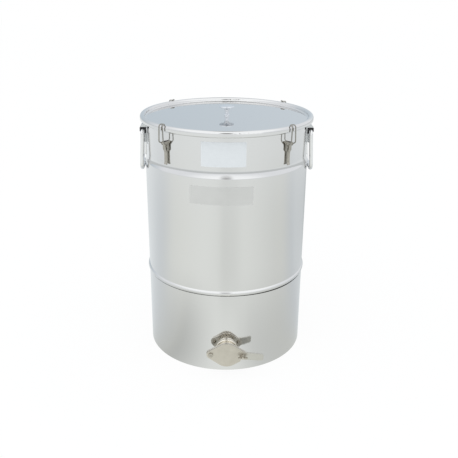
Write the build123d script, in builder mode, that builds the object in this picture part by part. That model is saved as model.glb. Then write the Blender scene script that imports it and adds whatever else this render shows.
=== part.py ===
from build123d import *
import os
from math import cos, radians, sin, sqrt

# Stainless steel settling tank with a clamped lid, two drop handles and a flap gate.
# Millimetres, +Z up, gate towards -Y, origin on the floor at the tank's axis.

# Tank wall: heights on the neck are measured from the middle of the rolled mouth
body_radius = 200.0
mouth_height = 591.5
sheet = 1.0
neck_step = 3.4
shoulder_below_mouth = 80.2
shoulder_length = 17.0
shoulder_roll = 3.0
bead_height = 211.7
bead_width = 11.8
bead_bulge = 3.4
roll_radius = 4.6
roll_sweep = 305.0
wire_clearance = 0.4
neck_radius = body_radius - neck_step
shoulder_top = mouth_height - shoulder_below_mouth
shoulder_bottom = shoulder_top - shoulder_length
roll_centre = neck_radius - sheet + roll_radius
tank_height = mouth_height + roll_radius

# Floor pan, set into the wall's foot
floor_height = 30.0
floor_sheet = 1.2
floor_corner = 6.0

# Lid, with a half-round rim that closes over the rolled mouth on a round seal
lid_sheet = 1.0
lid_panel_rise = 3.5
dish_clearance = 1.2
lid_dish_corner = 3.0
rim_radius = 6.25
rim_shift = 3.55
skirt_rise = 0.5
seal_radius = 3.0
seal_gap = 0.3
seal_seat = 0.05
seal_offset = 2.2
lid_panel_height = mouth_height + lid_panel_rise
lid_dish_radius = neck_radius - sheet - dish_clearance
skirt_bottom = mouth_height + skirt_rise
rim_centre = roll_centre + rim_shift
rim_inner_radius = rim_radius - lid_sheet
seal_centre = roll_centre + seal_offset
seal_height = mouth_height + sqrt((roll_radius + seal_radius + seal_gap) ** 2 - seal_offset**2)
rim_height = seal_height - sqrt(
    (rim_inner_radius - seal_radius - seal_seat) ** 2 - (rim_centre - seal_centre) ** 2
)

# Lid knob, and the screw sizes it shares with the gate
knob_height = 26.0
knob_radius = 18.2
knob_foot_radius = 6.4
knob_foot_height = 5.0
knob_waist_radius = 4.5
knob_stem = 10.0
knob_brim = 3.5
knob_lip = 2.0
screw_radius = 3.0
screw_depth = 13.0
washer_radius = 9.0
washer_thickness = 1.2
screw_head_radius = 5.5
screw_head_height = 3.6
hole_clearance = 0.2
slot_width = 1.4
slot_depth = 1.6

# Running clearance of every pin in its moving part
running = 0.05

# Latches: turns from the front in degrees, right positive, as they are welded on; u is measured
# outward from the neck wall, heights from the lever's pivot
latch_turns = {"front_right": 43.3, "back_right": 133.5, "back_left": -137.0, "front_left": -44.0}
pivot_below_mouth = 28.5
pivot_u = 8.5
pivot_radius = 2.0
pivot_barrel = 3.4
pin_stand_out = 0.2
base_width = 12.0
base_above_pivot = 3.6
base_below_pivot = 19.0
base_thickness = 1.0
base_corner = 2.0
ear_thickness = 1.0
ear_round = 3.6
ear_below_pivot = 8.0
lever_width = 8.2
lever_thickness = 2.4
lever_side_gap = 0.3
lever_back_u = 3.8
lever_bend_below_pivot = 43.0
lever_tip_below_pivot = 50.0
lever_tip_u = 5.4
bail_below_pivot = 17.0
bail_pivot_u = 4.2
bail_lug = 2.6
bail_wire = 1.4
bail_side_gap = 0.3
bail_end_gap = 0.8
bail_kink = 3.5
bail_leg_clearance = 2.2
hook_half_width = 5.3
hook_over_crest = 1.5
hook_gap = 0.5
pivot_height = mouth_height - pivot_below_mouth
base_top = pivot_height + base_above_pivot
base_bottom = pivot_height - base_below_pivot
bail_pivot_height = pivot_height - bail_below_pivot
ear_inside = lever_width / 2 + lever_side_gap
ear_outside = ear_inside + ear_thickness
pin_half_length = ear_outside + pin_stand_out
bail_half_width = ear_outside + bail_side_gap + bail_wire
bail_leg_u = rim_centre + rim_radius + bail_leg_clearance + bail_wire - neck_radius
crest_reach = rim_radius + hook_gap + bail_wire
hook_u = rim_centre + hook_over_crest - neck_radius
hook_height = rim_height + sqrt(crest_reach**2 - hook_over_crest**2)

# Drop handles: a rod bail with turned-in pegs in two hinge blocks under a sheet hood, each over a
# riveted strap; heights are from the hinge axis
handle_below_mouth = 24.5
handle_out = 0.9
handle_rod = 4.8
handle_half_width = 47.0
handle_drop = 92.5
handle_lean = 4.7
handle_corner = 15.0
handle_top_bend = 7.5
block_width = 14.0
block_end_gap = 0.5
block_above_axis = 7.5
block_out = 7.6
block_corner = 1.5
block_lip = 2.5
block_boss = 5.2
block_heel = 7.0
strap_length = 21.0
strap_face_out = 2.9
peg_radius = 3.5
peg_short = 2.0
bracket_thickness = 1.2
bracket_above_axis = 18.0
bracket_below_axis = 30.0
bracket_margin = 12.0
hood_apex_out = 1.8
hood_lip_out = 10.3
hood_fall = 8.0
hood_thickness = 1.5
hood_margin = 2.0
rivet_radius = 1.6
rivet_head_radius = 2.6
rivet_head_height = 1.4
rivet_below_axis = 17.5
rivet_spread = 5.0
handle_pivot_x = body_radius + handle_out
handle_pivot_height = mouth_height - handle_below_mouth
bracket_radius = neck_radius + bracket_thickness
block_outer_y = handle_half_width - handle_top_bend - block_end_gap
block_inner_y = block_outer_y - block_width
block_centre_y = block_outer_y - block_width / 2
strap_face_x = neck_radius + strap_face_out
bracket_half_width = block_outer_y + bracket_margin
bracket_top = handle_pivot_height + bracket_above_axis
bracket_bottom = handle_pivot_height - bracket_below_axis
strap_top = handle_pivot_height - block_heel
hood_outer_y = block_outer_y + hood_margin
hood_apex_x = neck_radius + hood_apex_out
hood_lip_x = neck_radius + hood_lip_out
rivet_height = handle_pivot_height - rivet_below_axis

# Gate: depths are measured from the tank's axis towards the front; screwed home, it stands turned
# clockwise by a few degrees
gate_height = 61.8
gate_turn = 2.3
bore_radius = 20.0
gate_tube_radius = 23.0
thread_clearance = 0.1
socket_radius = 27.0
socket_length = 6.0
socket_edge = 1.0
tube_gap = 2.0
gate_reach = 21.5
flange_thickness = 5.0
flange_disc = 30.0
flange_ear = 10.5
screw_reach = 38.5
flap_gap = 0.3
flap_thickness = 4.5
flap_disc = 31.2
flap_ear = 10.0
flap_slot_sweep = 18.0
tail_reach = 89.0
tail_root_width = 20.0
tail_end_width = 17.0
tail_end_round = 5.0
tail_drop = 3.0
gate_seal_radius = 1.6
gate_seal_ring = 25.0
groove_clearance = 0.05
gate_seal_stand_out = 0.2
nut_across_flats = 10.0
nut_thickness = 5.0
screw_tail = 2.0
wing_hub_radius = 6.0
wing_hub_length = 8.0
wing_span = 23.0
wing_thickness = 3.0
wing_rise = 11.0
wing_foot = 2.5
wing_round = 3.0
stud_stand_out = 3.0
socket_front = body_radius + socket_length
tube_root = body_radius + tube_gap
flange_back = body_radius + gate_reach
flange_front = flange_back + flange_thickness
flap_back = flange_front + flap_gap
flap_front = flap_back + flap_thickness

gate_across = (cos(radians(gate_turn)), 0, -sin(radians(gate_turn)))
gate_plane = Plane(origin=(0, 0, gate_height), x_dir=gate_across, z_dir=(0, -1, 0))
gate_level = Plane(origin=gate_plane.origin, x_dir=gate_across, z_dir=gate_plane.y_dir)


def latch_plane(turn):
    """The upright plane through the tank's axis at a latch: x outward from the neck wall, y up."""
    outward = Vector(sin(radians(turn)), -cos(radians(turn)), 0)
    return Plane(origin=outward * neck_radius, x_dir=outward, z_dir=outward.cross(Vector(0, 0, 1)))


def save(builder, label):
    """Label a finished sub-part and write it as one STEP file."""
    builder.part.label = label
    export_step(builder.part, f"parts/{label}.step")


def wall_side(inset):
    """One side of the wall's section, from the foot up to the rolled edge."""
    body = body_radius - inset
    neck = neck_radius - inset
    bead_low = bead_height - bead_width / 2
    bead_high = bead_height + bead_width / 2
    Line((body, 0), (body, bead_low))
    ThreePointArc((body, bead_low), (body + bead_bulge, bead_height), (body, bead_high))
    Line((body, bead_high), (body, shoulder_bottom))
    TangentArc((neck, shoulder_top), (body, shoulder_bottom), tangent=(0, -1))
    Line((neck, shoulder_top), (neck, mouth_height))


os.makedirs("parts", exist_ok=True)

# Tank wall: foot, bead, shoulder and neck in one sheet that curls outward at the mouth
with BuildPart() as tank_shell:
    with BuildSketch(Plane.XZ) as wall_section:
        with BuildLine():
            wall_side(0)
            wall_side(sheet)
            Line((body_radius - sheet, 0), (body_radius, 0))
            Line((neck_radius - sheet, mouth_height), (neck_radius, mouth_height))
        make_face()
        edge_reach = shoulder_bottom - sheet, shoulder_bottom + sheet
        fillet(wall_section.vertices().filter_by_position(Axis.Y, *edge_reach), shoulder_roll)
        with BuildLine():
            roll_out = CenterArc((roll_centre, mouth_height), roll_radius, 180, -roll_sweep)
            roll_in = CenterArc((roll_centre, mouth_height), roll_radius - sheet, 180, -roll_sweep)
            Line(roll_out @ 0, roll_in @ 0)
            Line(roll_out @ 1, roll_in @ 1)
        make_face()
    revolve(axis=Axis.Z)
    with BuildSketch(gate_plane):
        Circle(gate_tube_radius + thread_clearance)
    extrude(amount=2 * body_radius, mode=Mode.SUBTRACT)
save(tank_shell, "tank_shell")

# Wire inside the rolled mouth
with BuildPart() as rim_wire:
    with BuildSketch(Plane.XZ):
        with Locations((roll_centre, mouth_height)):
            Circle(roll_radius - sheet - wire_clearance)
    revolve(axis=Axis.Z)
save(rim_wire, "rim_wire")

# Floor pan: a disc with a flange turned down to the foot
with BuildPart() as tank_floor:
    floor_radius = body_radius - sheet
    with BuildSketch(Plane.XZ):
        with BuildLine():
            FilletPolyline(
                (0, floor_height), (floor_radius, floor_height), (floor_radius, 0), radius=floor_corner
            )
            Line((floor_radius, 0), (floor_radius - floor_sheet, 0))
            FilletPolyline(
                (floor_radius - floor_sheet, 0),
                (floor_radius - floor_sheet, floor_height - floor_sheet),
                (0, floor_height - floor_sheet),
                radius=floor_corner - floor_sheet,
            )
            Line((0, floor_height - floor_sheet), (0, floor_height))
        make_face()
    revolve(axis=Axis.Z)
save(tank_floor, "tank_floor")

# Lid: a dished panel whose rim turns over the mouth and down as a skirt
with BuildPart() as lid_pan:
    rim_start = rim_centre - rim_radius
    with BuildSketch(Plane.XZ):
        with BuildLine():
            dish = FilletPolyline(
                (0, lid_panel_height),
                (lid_dish_radius, lid_panel_height),
                (rim_start, rim_height),
                radius=lid_dish_corner,
            )
            crest = CenterArc((rim_centre, rim_height), rim_radius, 180, -180)
            skirt = Line(crest @ 1, (rim_centre + rim_radius, skirt_bottom))
            hem = Line(skirt @ 1, (rim_centre + rim_inner_radius, skirt_bottom))
            Line(hem @ 1, (rim_centre + rim_inner_radius, rim_height))
            vault = CenterArc((rim_centre, rim_height), rim_inner_radius, 0, 180)
            underside = FilletPolyline(
                vault @ 1,
                (lid_dish_radius + lid_sheet, lid_panel_height - lid_sheet),
                (0, lid_panel_height - lid_sheet),
                radius=lid_dish_corner + lid_sheet,
            )
            Line(underside @ 1, dish @ 0)
        make_face()
    revolve(axis=Axis.Z)
    with BuildSketch(Plane.XY.offset(lid_panel_height - lid_sheet)):
        Circle(screw_radius + hole_clearance)
    extrude(amount=lid_sheet, mode=Mode.SUBTRACT)
save(lid_pan, "lid_pan")

# Round cord seal in the vault of the rim
with BuildPart() as lid_seal:
    with BuildSketch(Plane.XZ):
        with Locations((seal_centre, seal_height)):
            Circle(seal_radius)
    revolve(axis=Axis.Z)
save(lid_seal, "lid_seal")

# Knob: a mushroom on a domed foot, tapped for its screw
with BuildPart() as lid_knob:
    knob_top = lid_panel_height + knob_height
    brim_height = knob_top - knob_brim
    with BuildSketch(Plane.XZ):
        with BuildLine():
            foot = Polyline(
                (0, knob_top),
                (0, lid_panel_height),
                (knob_foot_radius, lid_panel_height),
                (knob_foot_radius, lid_panel_height + knob_foot_height / 2),
            )
            dome_top = (knob_waist_radius, lid_panel_height + knob_foot_height)
            TangentArc(foot @ 1, dome_top, tangent=(0, 1))
            stem = Line(dome_top, (knob_waist_radius, lid_panel_height + knob_stem))
            flare = TangentArc(
                stem @ 1,
                (knob_radius - knob_lip / 2, brim_height - knob_lip),
                tangent=(0, 1),
            )
            lip = (knob_radius - knob_lip / 2, brim_height + knob_lip / 2)
            ThreePointArc(flare @ 1, (knob_radius, brim_height - knob_lip / 4), lip)
            TangentArc((0, knob_top), lip, tangent=(1, 0))
        make_face()
    revolve(axis=Axis.Z)
    with BuildSketch(Plane.XY.offset(lid_panel_height)):
        Circle(screw_radius)
    extrude(amount=screw_depth, mode=Mode.SUBTRACT)
save(lid_knob, "lid_knob")

# Washer and screw that hold the knob from below
with BuildPart() as lid_knob_washer:
    with BuildSketch(Plane.XY.offset(lid_panel_height - lid_sheet)):
        Circle(washer_radius)
        Circle(screw_radius + hole_clearance, mode=Mode.SUBTRACT)
    extrude(amount=-washer_thickness)
save(lid_knob_washer, "lid_knob_washer")

with BuildPart() as lid_knob_screw:
    head_top = lid_panel_height - lid_sheet - washer_thickness
    with BuildSketch(Plane.XY.offset(head_top)):
        Circle(screw_head_radius)
    extrude(amount=-screw_head_height)
    fillet(lid_knob_screw.edges().group_by(Axis.Z)[0], screw_head_height / 3)
    with BuildSketch(Plane.XY.offset(head_top)):
        Circle(screw_radius)
    extrude(amount=washer_thickness + lid_sheet + screw_depth)
    with BuildSketch(Plane.XY.offset(head_top - screw_head_height)):
        Rectangle(2 * screw_head_radius, slot_width)
    extrude(amount=slot_depth, mode=Mode.SUBTRACT)
save(lid_knob_screw, "lid_knob_screw")

# Latches: base with two ears, lever on a pin, wire bail hooked over the lid's rim
for name, turn in latch_turns.items():
    plane = latch_plane(turn)

    with BuildPart() as latch_base:
        with BuildSketch(plane):
            with Locations(((base_thickness - neck_step) / 2, (base_bottom + base_top) / 2)):
                Rectangle(base_thickness + neck_step, base_top - base_bottom)
        extrude(amount=base_width / 2, both=True)
        fillet(latch_base.edges().filter_by(Axis(plane.origin, plane.x_dir)), base_corner)
        with BuildSketch(plane.offset(ear_inside)) as near_ear:
            with BuildLine():
                FilletPolyline(
                    (0, pivot_height - ear_below_pivot),
                    (pivot_u + ear_round, pivot_height - ear_round),
                    (pivot_u + ear_round, base_top),
                    (0, base_top),
                    radius=ear_round,
                )
                Line((0, base_top), (0, pivot_height - ear_below_pivot))
            make_face()
            with Locations((pivot_u, pivot_height)):
                Circle(pivot_radius, mode=Mode.SUBTRACT)
        extrude(amount=ear_thickness)
        mirror(about=plane)
        Cylinder(neck_radius, 2 * tank_height, mode=Mode.SUBTRACT)
    save(latch_base, f"latch_base_{name}")

    with BuildPart() as latch_lever:
        with BuildSketch(plane):
            with BuildLine() as lever_line:
                FilletPolyline(
                    (pivot_u, pivot_height),
                    (lever_back_u, bail_pivot_height - 2 * bail_lug),
                    (lever_back_u, pivot_height - lever_bend_below_pivot),
                    (lever_tip_u, pivot_height - lever_tip_below_pivot),
                    radius=2 * lever_thickness,
                )
            trace(lever_line.line, lever_thickness)
            with Locations((pivot_u, pivot_height)):
                Circle(pivot_barrel)
            with Locations((bail_pivot_u, bail_pivot_height)):
                Circle(bail_lug)
            with Locations((pivot_u, pivot_height)):
                Circle(pivot_radius + running, mode=Mode.SUBTRACT)
            with Locations((bail_pivot_u, bail_pivot_height)):
                Circle(bail_wire + running, mode=Mode.SUBTRACT)
        extrude(amount=lever_width / 2, both=True)
    save(latch_lever, f"latch_lever_{name}")

    with BuildPart() as latch_bail:
        side = [
            (bail_pivot_u, bail_pivot_height, bail_end_gap / 2),
            (bail_pivot_u, bail_pivot_height, bail_half_width),
            (bail_pivot_u, pivot_height - bail_kink, bail_half_width),
            (bail_leg_u, pivot_height + bail_kink, bail_half_width),
            (bail_leg_u, hook_height, hook_half_width),
            (hook_u, hook_height, hook_half_width),
        ]
        bends = [2 * bail_wire, 3 * bail_wire, 3 * bail_wire, 4 * bail_wire, 2 * bail_wire]
        route = side + [(u, z, -s) for u, z, s in reversed(side)]
        with BuildLine() as bail_path:
            FilletPolyline(
                *[plane.from_local_coords(point) for point in route], radius=bends + bends[::-1]
            )
        with BuildSketch(Plane(bail_path.line @ 0, z_dir=bail_path.line % 0)):
            Circle(bail_wire)
        sweep()
    save(latch_bail, f"latch_bail_{name}")

with BuildPart() as latch_pins:
    for turn in latch_turns.values():
        with BuildSketch(latch_plane(turn)):
            with Locations((pivot_u, pivot_height)):
                Circle(pivot_radius)
        extrude(amount=pin_half_length, both=True)
save(latch_pins, "latch_pins")

# Drop handles, one on each side of the neck: bracket with a hood closed at its ends and two straps,
# hinge blocks, and the rod bail
for side_name, sign in (("left", -1), ("right", 1)):
    with BuildPart() as handle_bracket:
        root = sqrt(bracket_radius**2 - hood_outer_y**2) - bracket_thickness
        hood_bottom = bracket_top - hood_fall - hood_thickness
        with BuildSketch(Plane.XZ):
            with BuildLine():
                Polyline(
                    (sign * root, bracket_top),
                    (sign * hood_apex_x, bracket_top),
                    (sign * hood_lip_x, bracket_top - hood_fall),
                    (sign * hood_lip_x, hood_bottom),
                    (sign * root, hood_bottom),
                    close=True,
                )
            make_face()
        extrude(amount=hood_outer_y, both=True)
        with BuildSketch(Plane.XZ):
            with BuildLine():
                Polyline(
                    (sign * root, bracket_top - hood_thickness),
                    (sign * hood_apex_x, bracket_top - hood_thickness),
                    (sign * hood_lip_x, hood_bottom),
                    (sign * root, hood_bottom),
                    close=True,
                )
            make_face()
        extrude(amount=hood_outer_y - hood_thickness, both=True, mode=Mode.SUBTRACT)
        with BuildSketch(Plane.XY.offset(bracket_bottom)):
            Circle(bracket_radius)
            Circle(neck_radius, mode=Mode.SUBTRACT)
            with Locations((sign * body_radius, 0)):
                Rectangle(body_radius, 2 * bracket_half_width, mode=Mode.INTERSECT)
        extrude(amount=bracket_top - bracket_bottom)
        with BuildSketch(Plane.XY.offset(strap_top)):
            with GridLocations(1, 2 * block_centre_y, 1, 2):
                Rectangle(2 * strap_face_x, block_width)
            with Locations((sign * body_radius, 0)):
                Rectangle(body_radius, 2 * bracket_half_width, mode=Mode.INTERSECT)
        extrude(amount=-strap_length)
        Cylinder(neck_radius, 2 * tank_height, mode=Mode.SUBTRACT)
        with BuildSketch(Plane.YZ):
            with Locations((0, rivet_height)):
                with GridLocations(2 * block_centre_y, 2 * rivet_spread, 2, 2):
                    Circle(rivet_radius)
        extrude(amount=sign * 2 * body_radius, mode=Mode.SUBTRACT)
    save(handle_bracket, f"handle_bracket_{side_name}")

    for end_name, start_y in (("front", -block_outer_y), ("back", block_inner_y)):
        with BuildPart() as handle_hinge:
            with BuildSketch(Plane.XZ.offset(-start_y)) as handle_hinge_outline:
                with Locations((sign * (handle_pivot_x + block_out) / 2, handle_pivot_height)):
                    Rectangle(handle_pivot_x + block_out, 2 * block_above_axis)
                fillet(handle_hinge_outline.vertices(), block_corner)
                with Locations((sign * handle_pivot_x, handle_pivot_height - block_lip)):
                    Rectangle(4 * block_out, 2 * block_out, align=(Align.CENTER, Align.MAX), mode=Mode.SUBTRACT)
                with Locations((sign * handle_pivot_x / 2, handle_pivot_height)):
                    Rectangle(handle_pivot_x, block_heel, align=(Align.CENTER, Align.MAX))
                with Locations((sign * handle_pivot_x, handle_pivot_height)):
                    Circle(block_boss)
                    Circle(peg_radius + running, mode=Mode.SUBTRACT)
            extrude(amount=-block_width)
            Cylinder(bracket_radius, 2 * tank_height, mode=Mode.SUBTRACT)
        save(handle_hinge, f"handle_hinge_{side_name}_{end_name}")

    with BuildPart() as handle_bail:
        low = handle_pivot_height - handle_drop
        far = handle_pivot_x + handle_lean
        shoulder_y = block_outer_y + block_end_gap / 2
        with BuildLine() as handle_path:
            FilletPolyline(
                (sign * handle_pivot_x, -shoulder_y, handle_pivot_height),
                (sign * handle_pivot_x, -handle_half_width, handle_pivot_height),
                (sign * far, -handle_half_width, low),
                (sign * far, handle_half_width, low),
                (sign * handle_pivot_x, handle_half_width, handle_pivot_height),
                (sign * handle_pivot_x, shoulder_y, handle_pivot_height),
                radius=[handle_top_bend, handle_corner, handle_corner, handle_top_bend],
            )
        with BuildSketch(Plane(handle_path.line @ 0, z_dir=handle_path.line % 0)):
            Circle(handle_rod)
        sweep()
        for start_y in (-shoulder_y, block_inner_y + peg_short):
            with BuildSketch(Plane.XZ.offset(-start_y)):
                with Locations((sign * handle_pivot_x, handle_pivot_height)):
                    Circle(peg_radius)
            extrude(amount=block_inner_y + peg_short - shoulder_y)
    save(handle_bail, f"handle_bail_{side_name}")

with BuildPart() as handle_rivets:
    for sign in (-1, 1):
        with BuildSketch(Plane.YZ.offset(sign * strap_face_x)):
            with Locations((0, rivet_height)):
                with GridLocations(2 * block_centre_y, 2 * rivet_spread, 2, 2):
                    Circle(rivet_head_radius)
        extrude(amount=sign * rivet_head_height)
    with BuildSketch(Plane.YZ):
        with Locations((0, rivet_height)):
            with GridLocations(2 * block_centre_y, 2 * rivet_spread, 2, 2):
                Circle(rivet_radius)
    extrude(amount=strap_face_x, both=True)
    Cylinder(neck_radius, 2 * tank_height, mode=Mode.SUBTRACT)
save(handle_rivets, "handle_rivets")

# Gate: socket on the wall, body with a flange, seal, flap on a pivot screw, wing nut on a stud
with BuildPart() as outlet_socket:
    with BuildSketch(gate_plane):
        Circle(socket_radius)
        Circle(gate_tube_radius + thread_clearance, mode=Mode.SUBTRACT)
    extrude(amount=socket_front)
    Cylinder(body_radius, 2 * tank_height, mode=Mode.SUBTRACT)
    fillet(outlet_socket.edges().group_by(Axis.Y)[0].sort_by(SortBy.RADIUS)[-1], socket_edge)
save(outlet_socket, "outlet_socket")

with BuildPart() as gate_body:
    with BuildSketch(gate_plane.offset(tube_root)):
        Circle(gate_tube_radius)
    extrude(amount=flange_back - tube_root)
    with BuildSketch(gate_plane.offset(flange_back)):
        Circle(flange_disc)
        with GridLocations(2 * screw_reach, 1, 2, 1):
            Circle(flange_ear)
        make_hull()
        with GridLocations(2 * screw_reach, 1, 2, 1):
            Circle(screw_radius, mode=Mode.SUBTRACT)
    extrude(amount=flange_thickness)
    with BuildSketch(gate_plane):
        Circle(bore_radius)
    extrude(amount=flange_front, mode=Mode.SUBTRACT)
    with BuildSketch(gate_plane.offset(flange_front)):
        Circle(gate_seal_ring + gate_seal_radius + groove_clearance)
        Circle(gate_seal_ring - gate_seal_radius - groove_clearance, mode=Mode.SUBTRACT)
    extrude(amount=-2 * gate_seal_radius + gate_seal_stand_out - groove_clearance, mode=Mode.SUBTRACT)
save(gate_body, "gate_body")

with BuildPart() as gate_seal:
    seal_depth = flange_front + gate_seal_stand_out - gate_seal_radius
    with BuildSketch(Plane(origin=(0, -seal_depth, gate_height), x_dir=(1, 0, 0), z_dir=(0, 0, 1))):
        with Locations((gate_seal_ring, 0)):
            Circle(gate_seal_radius)
    revolve(axis=Axis((0, 0, gate_height), (0, 1, 0)))
save(gate_seal, "gate_seal")

with BuildPart() as gate_flap:
    with BuildSketch(gate_plane.offset(flap_back)) as tail_outline:
        with BuildLine():
            Polyline(
                (0, tail_root_width / 2),
                (screw_reach, tail_root_width / 2),
                (tail_reach, tail_end_width / 2 - tail_drop),
                (tail_reach, -tail_end_width / 2 - tail_drop),
                (screw_reach, -tail_root_width / 2),
                (0, -tail_root_width / 2),
                close=True,
            )
        make_face()
        fillet(tail_outline.vertices().group_by(Axis.X)[-1], tail_end_round)
    extrude(amount=flap_thickness)
    with BuildSketch(gate_plane.offset(flap_back)):
        Circle(flap_disc)
        with GridLocations(2 * screw_reach, 1, 2, 1):
            Circle(flap_ear)
        make_hull()
    extrude(amount=flap_thickness)
    with BuildSketch(gate_plane):
        with Locations((-screw_reach, 0)):
            Circle(screw_radius + running)
        with BuildLine():
            slot_half = screw_radius + hole_clearance
            slot_out = CenterArc((-screw_reach, 0), 2 * screw_reach + slot_half, -flap_slot_sweep, flap_slot_sweep)
            slot_in = CenterArc((-screw_reach, 0), 2 * screw_reach - slot_half, -flap_slot_sweep, flap_slot_sweep)
            ThreePointArc(slot_out @ 1, (screw_reach, slot_half), slot_in @ 1)
            Line(slot_out @ 0, slot_in @ 0)
        make_face()
    extrude(amount=2 * flap_front, mode=Mode.SUBTRACT)
save(gate_flap, "gate_flap")

with BuildPart() as gate_pivot_screw:
    with BuildSketch(gate_plane.offset(flange_back - nut_thickness - screw_tail)):
        with Locations((-screw_reach, 0)):
            Circle(screw_radius)
    extrude(amount=flap_front + flap_gap - flange_back + nut_thickness + screw_tail)
    with BuildSketch(gate_plane.offset(flap_front + flap_gap)):
        with Locations((-screw_reach, 0)):
            Circle(screw_head_radius)
    extrude(amount=screw_head_height)
    fillet(gate_pivot_screw.edges().group_by(Axis.Y)[0], screw_head_height / 3)
    with BuildSketch(gate_plane.offset(flap_front + flap_gap + screw_head_height)):
        with Locations((-screw_reach, 0)):
            Rectangle(slot_width, 2 * screw_head_radius)
    extrude(amount=-slot_depth, mode=Mode.SUBTRACT)
save(gate_pivot_screw, "gate_pivot_screw")

with BuildPart() as gate_pivot_nut:
    with BuildSketch(gate_plane.offset(flange_back)):
        with Locations((-screw_reach, 0)):
            RegularPolygon(nut_across_flats / 2, 6, major_radius=False)
            Circle(screw_radius, mode=Mode.SUBTRACT)
    extrude(amount=-nut_thickness)
save(gate_pivot_nut, "gate_pivot_nut")

with BuildPart() as gate_stud:
    stud_front = flap_front + flap_gap + wing_hub_length + stud_stand_out
    with BuildSketch(gate_plane.offset(flange_back)):
        with Locations((screw_reach, 0)):
            RegularPolygon(nut_across_flats / 2, 6, major_radius=False)
    extrude(amount=-nut_thickness)
    with BuildSketch(gate_plane.offset(flange_back)):
        with Locations((screw_reach, 0)):
            Circle(screw_radius)
    extrude(amount=stud_front - flange_back)
save(gate_stud, "gate_stud")

with BuildPart() as gate_wing_nut:
    hub_back = flap_front + flap_gap
    with BuildSketch(gate_plane.offset(hub_back)):
        with Locations((screw_reach, 0)):
            Circle(wing_hub_radius)
    extrude(amount=wing_hub_length, taper=8)
    with BuildSketch(gate_level.offset(-wing_thickness / 2)):
        for way in (-1, 1):
            with BuildLine():
                FilletPolyline(
                    (screw_reach, -hub_back - wing_foot),
                    (screw_reach + way * wing_hub_radius, -hub_back - wing_foot),
                    (screw_reach + way * wing_span / 2, -hub_back - wing_rise + wing_round),
                    (screw_reach + way * wing_span / 2, -hub_back - wing_rise),
                    (screw_reach + way * wing_hub_radius, -hub_back - wing_rise),
                    (screw_reach, -hub_back - wing_hub_length),
                    radius=wing_round / 3,
                )
                Line((screw_reach, -hub_back - wing_hub_length), (screw_reach, -hub_back - wing_foot))
            make_face()
    extrude(amount=wing_thickness)
    with BuildSketch(gate_plane):
        with Locations((screw_reach, 0)):
            Circle(screw_radius + running)
    extrude(amount=2 * flap_front, mode=Mode.SUBTRACT)
save(gate_wing_nut, "gate_wing_nut")
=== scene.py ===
"""Looks of the stainless settling tank: finishes, labels, weld, a dark line of painted shade
under the bead, studio and camera.

Metres in the part's own frame: +Z up, gate towards -Y, origin on the floor at the tank's axis.
A direction round the tank is an azimuth in degrees, from the front (-Y) towards +X.
"""
import logging
import math
from dataclasses import dataclass
from enum import Enum
from typing import Any

import bmesh
import bpy
from mathutils import Matrix, Vector


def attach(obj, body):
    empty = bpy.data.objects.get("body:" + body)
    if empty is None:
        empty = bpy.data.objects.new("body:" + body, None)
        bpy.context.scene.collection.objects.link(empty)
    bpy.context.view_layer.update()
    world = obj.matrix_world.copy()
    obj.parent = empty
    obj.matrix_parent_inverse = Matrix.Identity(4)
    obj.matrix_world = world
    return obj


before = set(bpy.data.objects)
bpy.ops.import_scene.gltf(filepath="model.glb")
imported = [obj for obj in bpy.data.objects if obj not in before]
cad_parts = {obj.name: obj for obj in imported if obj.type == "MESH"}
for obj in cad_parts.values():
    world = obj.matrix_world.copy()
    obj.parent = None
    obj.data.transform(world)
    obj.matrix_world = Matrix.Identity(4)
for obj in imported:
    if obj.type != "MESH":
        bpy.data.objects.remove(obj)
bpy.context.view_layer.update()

IMAGE_SIDE = 458
MM = 0.001
WALL_RADIUS = 200.0 * MM
NECK_RADIUS = 196.6 * MM
# Edges of new pieces that turn by more than this stay crisp
CRISP_DEG = 35.0
LOG = logging.getLogger("settling_tank")

Colour = tuple[float, float, float, float]
Point = tuple[float, float, float]
Span = tuple[float, float]
Tree = bpy.types.NodeTree
Socket = bpy.types.NodeSocket


class Body(Enum):
    """The CAD body that new pieces ride on."""

    TANK = "tank"


class Slot(Enum):
    """The record's material slots that new pieces take."""

    POLISHED = "polished_steel"
    SEAL = "seal_rubber"


def linear(hex_colour: str) -> Colour:
    """Turn an sRGB hex colour into linear RGBA.

    Args:
        hex_colour: Six hex digits, such as "d8d8d6".

    Returns:
        Linear red, green and blue, with alpha 1.
    """
    channels = [int(hex_colour[i : i + 2], 16) / 255 for i in (0, 2, 4)]
    red, green, blue = [
        c / 12.92 if c <= 0.04045 else ((c + 0.055) / 1.055) ** 2.4 for c in channels
    ]
    return red, green, blue, 1.0


def per_metre(size_mm: float) -> float:
    """The texture scale whose pattern repeats about every size_mm millimetres."""
    return 1 / (size_mm * MM)


def add_node(
    tree: Tree,
    kind: str,
    values: dict[Any, Any] | None = None,
    links: dict[Any, Socket] | None = None,
    **settings: Any,
) -> bpy.types.Node:
    """Add one node with its settings, socket values and incoming links.

    Args:
        tree: The node tree that takes the node.
        kind: The node's class name.
        values: Socket name or index to constant value.
        links: Socket name or index to the output that feeds it.
        **settings: Properties of the node itself.

    Returns:
        The new node.
    """
    node = tree.nodes.new(kind)
    for name, value in settings.items():
        setattr(node, name, value)
    for socket, value in (values or {}).items():
        node.inputs[socket].default_value = value
    for socket, source in (links or {}).items():
        tree.links.new(source, node.inputs[socket])
    return node


def new_material(name: str) -> tuple[bpy.types.Material, Tree, Socket]:
    """Start an empty node material.

    Args:
        name: The material's name.

    Returns:
        The material, its tree, and the output node's surface socket.
    """
    material = bpy.data.materials.new(name)
    material.use_nodes = True
    tree = material.node_tree
    tree.nodes.clear()
    output = add_node(tree, "ShaderNodeOutputMaterial")
    return material, tree, output.inputs["Surface"]


# Nearly all values of a noise lie between these two
NOISE_LOW, NOISE_HIGH = 0.3, 0.7
# Shares by which a metal's grain and a non-metal's tooth move the roughness either way
METAL_SPREAD, PLAIN_SPREAD = 0.25, 0.2


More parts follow.
